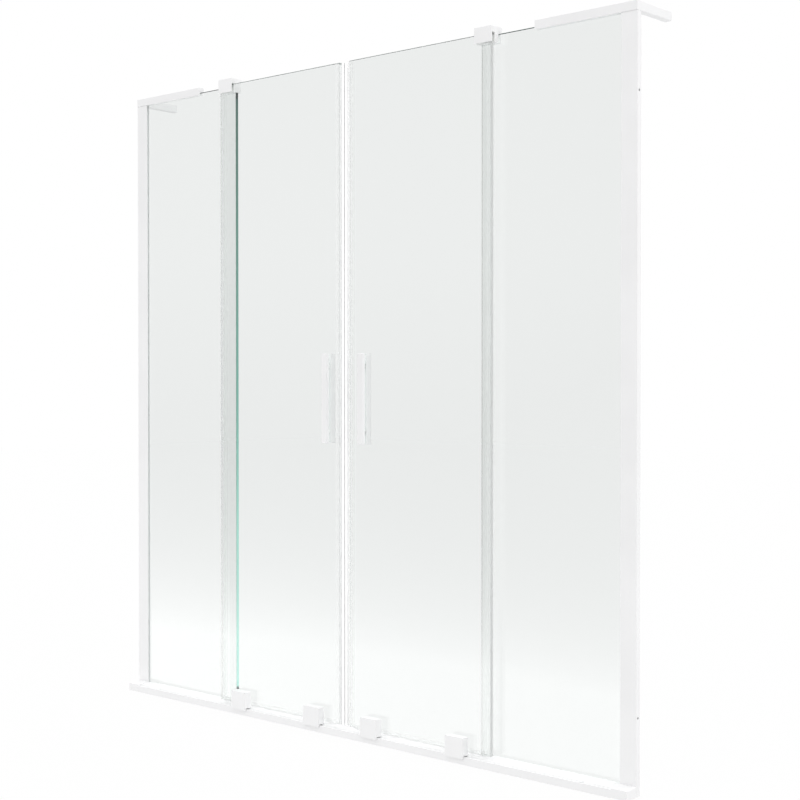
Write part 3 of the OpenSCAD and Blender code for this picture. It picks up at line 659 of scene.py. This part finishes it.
# Handles
# A flat bar in front of the glass and a deeper bar behind it, coated like the rail, joined by two bolts.
# The back bar's sunk holes hide the bolt heads; the front bar is plain.
def soft_bar(low, high, radius):
    """A bar along Z, rounded all over: a soft rectangle carried up and drawn in along a quarter circle
    at both ends."""
    steps = 5
    turn = np.radians(np.linspace(0, 90, steps + 1))
    inset = radius * (1 - np.sin(turn))
    rise = radius * (1 - np.cos(turn))
    stations = np.concatenate([low[2] + rise, high[2] - rise[::-1]])
    draws = np.concatenate([inset, inset[::-1]])
    rim = soft_rect((low[0], low[1]), (high[0], high[1]), radius)
    centre = np.array([(low[0] + high[0]) / 2, (low[1] + high[1]) / 2])
    half = np.array([(high[0] - low[0]) / 2, (high[1] - low[1]) / 2])
    grid = np.zeros((len(stations), len(rim), 3))
    shrink = (half[None, :] - draws[:, None]) / half[None, :]
    grid[:, :, :2] = centre + (rim - centre)[None, :, :] * shrink[:, None, :]
    grid[:, :, 2] = stations[:, None]
    return grid


for side, sign in halves:
    low, high = right_box(side + "_handle_front")
    moulded(side + "_handle_front", white_coat, [soft_bar(low, high, radius=1.2 * MM)], sign)
    machined(side + "_handle_back", white_coat, edge=0.6 * MM)

# Pads and sleeves
# Milky soft pads lie between metal and glass. A sleeve of the same plastic lines each hole in the glass.
# The sleeves show as small pale rings through the glass.
# The pads' glow is painted light, lifting them where they lie in shade between metal and glass.
soft_milky = milky_plastic("soft_milky_plastic", (0.9, 0.91, 0.91), glow=0.06)
for side in ("left", "right"):
    pads = machined(side + "_glass_pads", soft_milky, 0)
    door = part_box(side + "_door_glass")
    points = np.zeros(len(pads.data.vertices) * 3)
    pads.data.vertices.foreach_get("co", points)
    points = points.reshape(-1, 3)
    points[:, 1] -= contact_air * (np.abs(points[:, 1] - door[0].y) < contact_air)
    points[:, 1] += contact_air * (np.abs(points[:, 1] - door[1].y) < contact_air)
    pads.data.vertices.foreach_set("co", points.ravel())

# Door bolts
# Two bolts with cylinder heads pull the handle bars together. Two screws with low heads hold the discs.
# All are stainless steel with a hexagon socket.
bolt_spacing, bolt_shank, bolt_head, bolt_height = 145 * MM, 6 * MM, 10 * MM, 6 * MM
head_sunk, front_cover = 9.5 * MM, 2.5 * MM
screw_shank, screw_head, screw_height, screw_dome, in_block = 5 * MM, 10 * MM, 2.5 * MM, 0.8 * MM, 8 * MM
for side, sign in halves:
    back_bar = right_box(side + "_handle_back")
    front_bar = right_box(side + "_handle_front")
    discs = right_box(side + "_clamp_discs")
    handle_x = (back_bar[0].x + back_bar[1].x) / 2
    middle_z = (back_bar[0].z + back_bar[1].z) / 2
    head_y = back_bar[1].y - head_sunk
    bolt_length = head_y - front_bar[0].y - front_cover
    bolts = [cap_screw((handle_x, head_y, middle_z + up * bolt_spacing / 2), bolt_shank, bolt_length,
                       bolt_head, bolt_height) for up in (-1, 1)]
    for place in ("outer", "inner"):
        block = right_box(f"{side}_{place}_carriage")
        under_head = ((block[0].x + block[1].x) / 2, discs[1].y, (discs[0].z + discs[1].z) / 2)
        screw_length = discs[1].y - block[1].y + in_block
        bolts.append(cap_screw(under_head, screw_shank, screw_length, screw_head, screw_height,
                               screw_dome))
    moulded(side + "_door_bolts", bright_steel, bolts, sign)

# Carriages
# A block of coated metal with rounded edges holds each roller. Its thin skirt hangs in front of the rail.
# A round disc behind the glass and one screw hold it on the door.
for side in ("left", "right"):
    for place in ("outer", "inner"):
        machined(f"{side}_{place}_carriage", white_coat, edge=0.8 * MM, steps=4)
    machined(side + "_clamp_discs", white_coat, edge=0.6 * MM)

# Axles
# A ground steel pin with chamfered ends is pressed through each carriage.
# The roller's bearing turns on it.
for side, sign in halves:
    low, high = right_box(side + "_axles")
    radius, length, chamfer = (high.z - low.z) / 2, high.y - low.y, 0.4 * MM
    outline = [(radius - chamfer, 0), (radius, chamfer),
               (radius, length - chamfer), (radius - chamfer, length)]
    pins = [turned(outline, (x, low.y, low.z + radius)) for x in (low.x + radius, high.x - radius)]
    moulded(side + "_axles", bright_steel, pins, sign)


# Rollers and bearings
# A nylon tyre with a crowned tread is pressed on a small ball bearing, one in each carriage.
# The bearing has two races, a shield on each side and nine balls.
def tyre(centre, radius, half, ring):
    """A tyre from the bearing's radius, ring, out to its own, and half wide on each side of the centre.
    The outline is a hub, a recessed web, a rim, and a tread whose two edges are quarter circles."""
    hub, rim, recess, tread_round, steps = 1 * MM, 1.2 * MM, 0.4 * MM, 0.6 * MM, 72
    crown = arc((radius - tread_round, half - tread_round), tread_round, 90, 0)
    side_face = np.array([(ring + hub, half), (ring + hub + recess, half - recess),
                          (radius - rim - recess, half - recess), (radius - rim, half)])
    outline = np.concatenate([[(ring, -half), (ring, half)], side_face, crown,
                              crown[::-1] * (1, -1), side_face[::-1] * (1, -1), [(ring, -half)]])
    return turned(outline, centre, steps)


def bearing(centre, ring, half):
    """Two races with bevelled rims, two flat shields, and balls midway between the bore and the ring.
    A ball is a half circle of (radius, y) pairs carried round its own axis."""
    bore, race_wall, lip, steps = 2.53 * MM, 1.2 * MM, 0.15 * MM, 72
    shield_play, shield_thick, shield_sunk = 0.1 * MM, 0.2 * MM, 0.5 * MM
    balls, ball_radius, ball_steps, pole = 9, 0.75 * MM, 16, 85
    parts = []
    for inner, outer in ((ring - race_wall, ring), (bore, bore + race_wall)):
        race = [(inner, -half + lip), (inner, half - lip), (inner + lip, half),
                (outer - lip, half), (outer, half - lip), (outer, -half + lip),
                (outer - lip, -half), (inner + lip, -half), (inner, -half + lip)]
        parts.append(turned(race, centre, steps))
    shield_in, shield_out = bore + race_wall + shield_play, ring - race_wall
    shield = np.array([(shield_in, 0), (shield_out, 0), (shield_out, shield_thick),
                       (shield_in, shield_thick), (shield_in, 0)])
    for face in (-1, 1):
        parts.append(turned(shield + (0, face * (half - shield_sunk) - shield_thick / 2), centre))
    pitch = (ring + bore) / 2
    ball = arc((0, 0), ball_radius, -pole, pole, 10)
    for angle in np.linspace(0, 2 * math.pi, balls, endpoint=False):
        offset = Vector((pitch * math.cos(angle), 0, pitch * math.sin(angle)))
        parts.append(turned(ball, centre + offset, ball_steps))
    return parts


for side, sign in halves:
    for place in ("outer", "inner"):
        low, high = right_box(f"{side}_{place}_roller")
        ring_low, ring_high = right_box(f"{side}_{place}_bearing")
        centre = Vector(((low.x + high.x) / 2, (low.y + high.y) / 2, (low.z + high.z) / 2))
        ring = (ring_high.z - ring_low.z) / 2
        wheel = tyre(centre, (high.z - low.z) / 2, (high.y - low.y) / 2, ring)
        moulded(f"{side}_{place}_roller", nylon, [wheel], sign)
        parts = bearing(centre, ring, (ring_high.y - ring_low.y) / 2)
        moulded(f"{side}_{place}_bearing", bright_steel, parts, sign)


# Floor
# A plain white sheet, as in a photographer's studio, lit so that hardly a shadow stays on it. It is white
# to the camera and a little weaker to what it lights. What glass and gloss mirror is the studio below it.
def figure(nodes, links, operation, *terms):
    """One step of arithmetic on outputs of other nodes or on numbers."""
    step = nodes.new("ShaderNodeMath")
    step.operation = operation
    for term, socket in zip(terms, step.inputs):
        if isinstance(term, (int, float)):
            socket.default_value = term
        else:
            links.new(term, socket)
    return step.outputs["Value"]


reach, floor_z = 12, -0.5 * MM
floor_mesh = bpy.data.meshes.new("studio_floor")
floor_mesh.from_pydata([(-reach, -reach, 0), (reach, -reach, 0), (reach, reach, 0), (-reach, reach, 0)],
                       [], [(0, 1, 2, 3)])
floor = bpy.data.objects.new("studio_floor", floor_mesh)
bpy.context.scene.collection.objects.link(floor)
floor.location.z = floor_z
paper = bpy.data.materials.new("studio_paper")
paper.use_nodes = True
nodes, links = paper.node_tree.nodes, paper.node_tree.links
sheet = nodes["Principled BSDF"]
sheet.inputs["Base Color"].default_value = (0.95, 0.95, 0.95, 1)
sheet.inputs["Roughness"].default_value = 0.9
sheet.inputs["Specular IOR Level"].default_value = 0
glow = nodes.new("ShaderNodeEmission")
light_path = nodes.new("ShaderNodeLightPath")
is_mirrored = figure(nodes, links, "GREATER_THAN", light_path.outputs["Glossy Depth"], 0.5)
to_camera, to_pieces, own_light = 0.99, 0.83, 0.97
strength = spread(nodes, links, light_path.outputs["Diffuse Depth"], to_camera, to_pieces, start=0, end=1)
links.new(strength, glow.inputs["Strength"])
lit_sheet = nodes.new("ShaderNodeMixShader")
lit_sheet.inputs["Fac"].default_value = own_light
links.new(sheet.outputs["BSDF"], lit_sheet.inputs[1])
links.new(glow.outputs["Emission"], lit_sheet.inputs[2])
paper_face = either(nodes, links, is_mirrored, lit_sheet, nodes.new("ShaderNodeBsdfTransparent"))
links.new(paper_face.outputs["Shader"], nodes["Material Output"].inputs["Surface"])
floor_mesh.materials.append(paper)

# Studio light
# The whole room is white and soft, a little brighter overhead and on the right. Glass and gloss mirror it
# dim in front at eye level, brighter to the side, and white toward the lit floor before the screen.
world = bpy.data.worlds.new("studio")
bpy.context.scene.world = world
world.use_nodes = True
nodes, links = world.node_tree.nodes, world.node_tree.links
light_path = nodes.new("ShaderNodeLightPath")
direction = nodes.new("ShaderNodeSeparateXYZ")
links.new(nodes.new("ShaderNodeTexCoord").outputs["Generated"], direction.inputs["Vector"])
rightward, backward, upward = (direction.outputs[axis] for axis in "XYZ")
# The room as a light: it rises a little with height, and there is more overhead and from the right behind.
room = nodes["Background"]
overhead = spread(nodes, links, upward, low=0, high=0.55, start=0.5, end=0.9)
right_share = spread(nodes, links, rightward, low=0, high=1, start=0.1, end=1)
back_gain = spread(nodes, links, backward, low=-0.06, high=0.6, start=-0.1, end=0.5)
from_right = figure(nodes, links, "MULTIPLY", right_share, back_gain)
level = spread(nodes, links, upward, low=1.02, high=1.07, start=-0.2, end=0.5)
extra_light = figure(nodes, links, "ADD", overhead, from_right)
links.new(figure(nodes, links, "ADD", level, extra_light), room.inputs["Strength"])
# The room as glass and gloss mirror it: 1 behind the screen, and in front the sum of two terms. One grows
# with the sideways share from a level that rises with height. The other is an exponential of the tilt
# toward the lit floor, held at floor_most.
floor_lean, floor_rate, floor_shift, floor_most, side_gain = -0.194, -23.8, -6.92, 1.75, 1.474
mirrored = nodes.new("ShaderNodeBackground")
sideways = figure(nodes, links, "ABSOLUTE", rightward)
tilt = figure(nodes, links, "MULTIPLY_ADD", sideways, floor_lean, upward)
exponent = figure(nodes, links, "MULTIPLY_ADD", tilt, floor_rate, floor_shift)
lit_floor = figure(nodes, links, "MINIMUM", figure(nodes, links, "EXPONENT", exponent), floor_most)
eye_level = spread(nodes, links, upward, low=-0.93, high=-0.64, start=-0.042, end=0.079)
side_line = figure(nodes, links, "MULTIPLY_ADD", sideways, side_gain, eye_level)
dim_side = figure(nodes, links, "MAXIMUM", side_line, 0)
veil = nodes.new("ShaderNodeMix")
links.new(spread(nodes, links, backward, low=0, high=1, start=-0.1, end=0.1), veil.inputs["Factor"])
links.new(figure(nodes, links, "ADD", dim_side, lit_floor), veil.inputs["A"])
veil.inputs["B"].default_value = 1
links.new(veil.outputs["Result"], mirrored.inputs["Strength"])
backdrop = nodes.new("ShaderNodeBackground")
for background in (room, mirrored, backdrop):
    background.inputs["Color"].default_value = (1, 1, 1, 1)
is_mirrored = figure(nodes, links, "GREATER_THAN", light_path.outputs["Glossy Depth"], 0.5)
lights_a_surface = figure(nodes, links, "GREATER_THAN", light_path.outputs["Diffuse Depth"], 0.5)
seen = either(nodes, links, is_mirrored, backdrop, mirrored)
whole = either(nodes, links, lights_a_surface, seen, room)
links.new(whole.outputs["Shader"], nodes["World Output"].inputs["Surface"])

# Camera
# It stands to the right in front of the screen at half its height, turned 41.6 degrees to the left.
# The lens is what the photograph's own perspective gives: 1467.6 pixels over a picture 800 wide.
photo_width, focal_pixels = 800, 1467.6
yaw, pitch = math.radians(41.6245), math.radians(0.8102)
camera = bpy.data.objects.new("camera", bpy.data.cameras.new("camera"))
camera.data.sensor_width = 36
camera.data.lens = focal_pixels / photo_width * camera.data.sensor_width
camera.location = (2.2604, -2.3656, 0.7963)
gaze = Vector((-math.sin(yaw) * math.cos(pitch), math.cos(yaw) * math.cos(pitch), -math.sin(pitch)))
camera.rotation_mode = "QUATERNION"
camera.rotation_quaternion = gaze.to_track_quat("-Z", "Y")
bpy.context.scene.collection.objects.link(camera)
bpy.context.scene.camera = camera
bpy.context.scene.view_settings.view_transform = "Standard"
